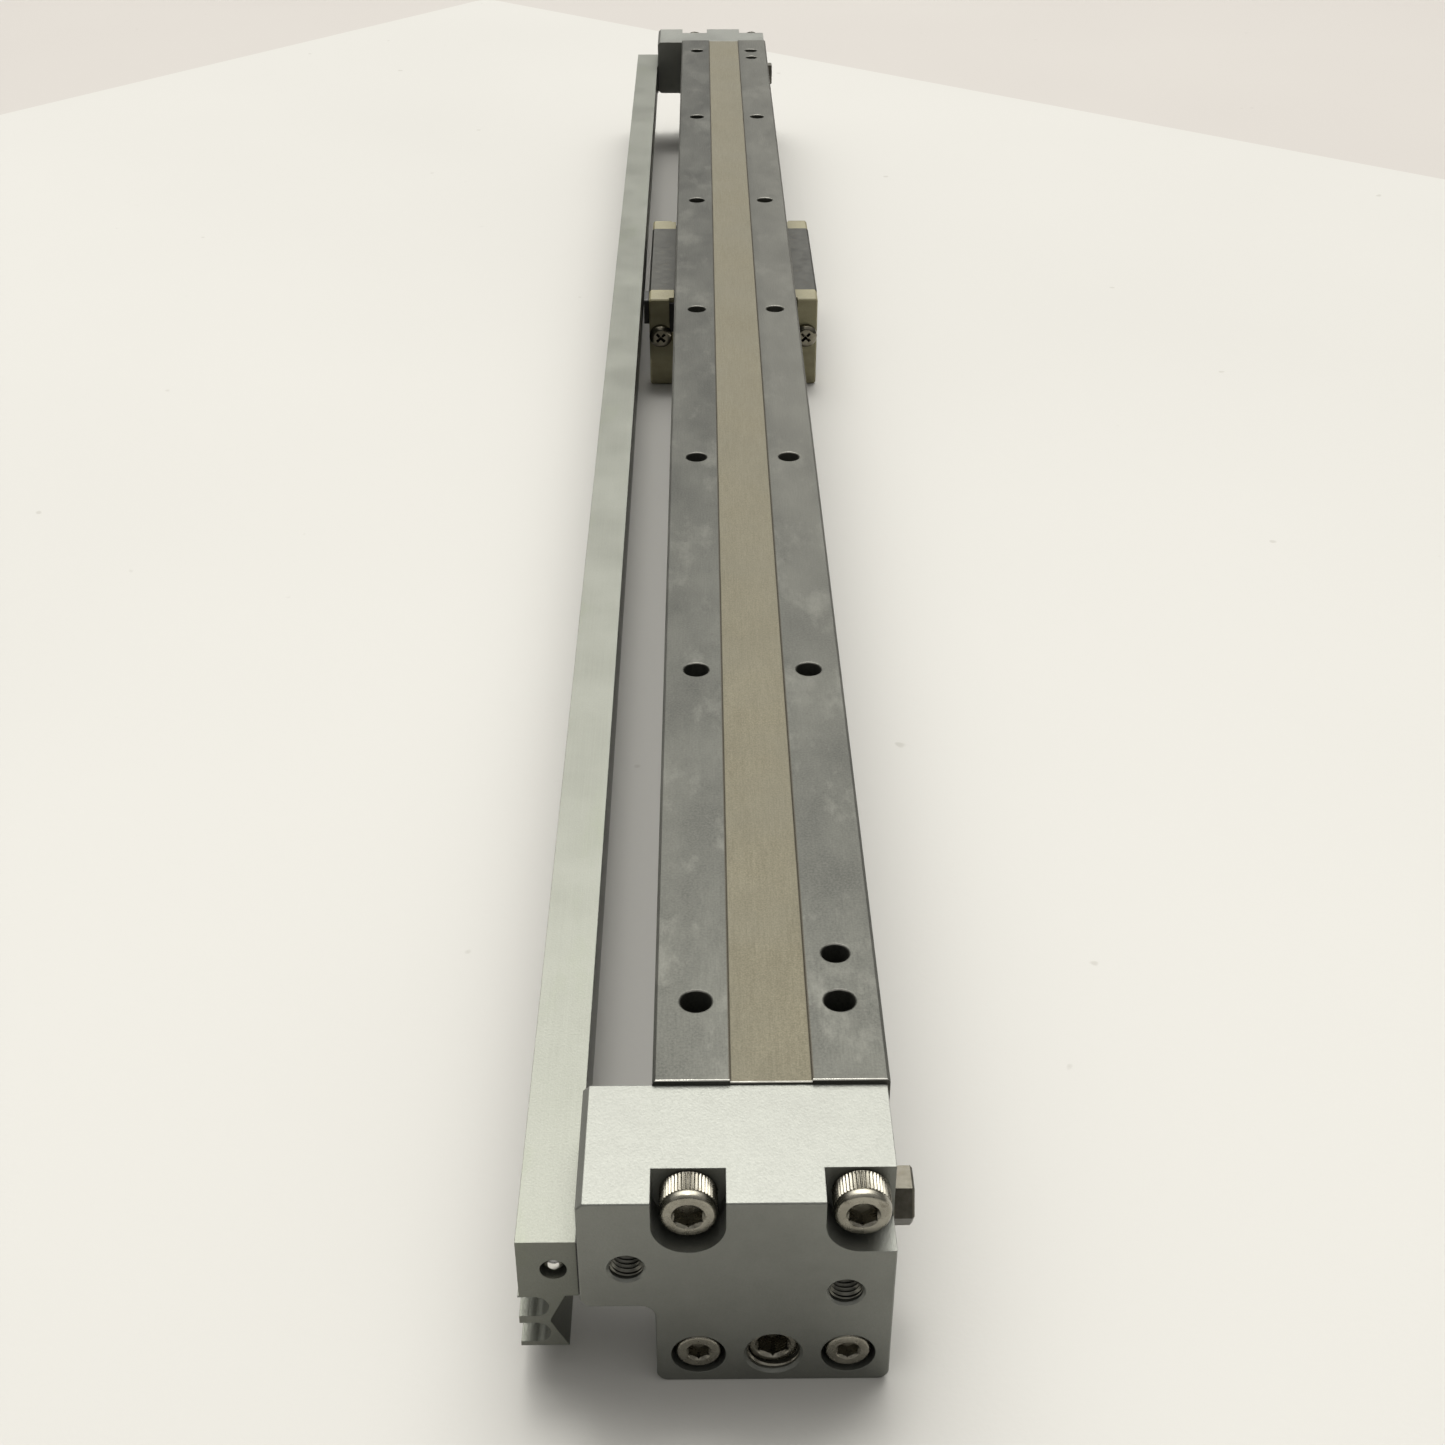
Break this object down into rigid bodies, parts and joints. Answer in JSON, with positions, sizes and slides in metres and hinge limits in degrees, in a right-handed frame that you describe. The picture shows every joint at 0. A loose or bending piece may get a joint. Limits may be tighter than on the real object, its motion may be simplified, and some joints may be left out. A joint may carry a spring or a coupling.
{
  "type": "guided rodless air slide",
  "caption": "Long-stroke guided slide: wide ground linear rail, magnetically driven carriage on an air cylinder tube, end blocks with air ports, and a slotted switch rail along one side.",
  "frame": {"origin": "middle of the rail mounting face", "axes": "+Z out of the mounting face, +Y along the rail away from the piped end, +X away from the switch rail"},
  "size_m": [0.0647, 0.6828, 0.042],
  "materials": {
    "ground_steel": "ground, lightly stained",
    "anodised_aluminium": "bead-blasted, clear anodised",
    "extruded_aluminium": "clear anodised extrusion",
    "nickel_screw": "bright nickel plated",
    "plug_steel": "dark nickel plated",
    "carriage_steel": "ground",
    "brown_resin": "moulded",
    "black_resin": "moulded",
    "black_rubber": "moulded",
    "urethane": "moulded",
    "stainless_tube": "polished",
    "bearing_steel": "polished",
    "magnet": "nickel plated",
    "yoke_iron": "zinc plated",
    "piston_aluminium": "turned",
    "wear_resin": "machined"
  },
  "bodies": {
    "base": {"rail": "ground_steel", "end_block_near": "anodised_aluminium", "end_block_far": "anodised_aluminium", "rail_screws_near": "nickel_screw", "rail_screws_far": "nickel_screw", "tube_screws_near": "nickel_screw", "tube_screws_far": "nickel_screw", "axis_plug_near": "plug_steel", "axis_plug_far": "plug_steel", "port_plugs_far": "plug_steel", "side_plug_near": "plug_steel", "side_plug_far": "plug_steel", "side_plug_washer_near": "black_rubber", "side_plug_washer_far": "black_rubber", "cylinder_tube": "stainless_tube", "tube_holder_near": "anodised_aluminium", "tube_holder_far": "anodised_aluminium", "tube_orings": "black_rubber", "bumper_near": "urethane", "bumper_far": "urethane", "switch_rail": "extruded_aluminium", "passage_ball_near": "bearing_steel", "passage_ball_far": "bearing_steel", "switch_rail_gasket_near": "black_rubber", "switch_rail_gasket_far": "black_rubber", "switch_rail_screws_near": "nickel_screw", "switch_rail_screws_far": "nickel_screw"},
    "carriage": {"carriage_body": "carriage_steel", "end_plate_near": "brown_resin", "end_plate_far": "brown_resin", "wiper_near": "black_rubber", "wiper_far": "black_rubber", "end_plate_screws_near": "nickel_screw", "end_plate_screws_far": "nickel_screw", "balls_left": "bearing_steel", "balls_right": "bearing_steel", "magnet_holder": "black_resin", "switch_magnet": "magnet", "outer_magnets": "magnet", "outer_yokes": "yoke_iron", "slider_wear_rings": "wear_resin", "slider_retainers": "yoke_iron"},
    "piston": {"inner_magnets": "magnet", "inner_yokes": "yoke_iron", "piston_shaft": "stainless_tube", "piston_near": "piston_aluminium", "piston_far": "piston_aluminium", "piston_seals": "black_rubber", "piston_wear_rings": "wear_resin"}
  },
  "joints": [
    {"name": "carriage_slide", "type": "slide", "parent": "base", "child": "carriage", "axis": [0, 1, 0], "range_m": [-0.356, 0.1936]},
    {"name": "piston_slide", "type": "slide", "parent": "base", "child": "piston", "axis": [0, 1, 0], "range_m": [-0.356, 0.1936]}
  ],
  "couplings": [
    {"joint": "piston_slide", "follows": "carriage_slide", "ratio": 1}
  ]
}
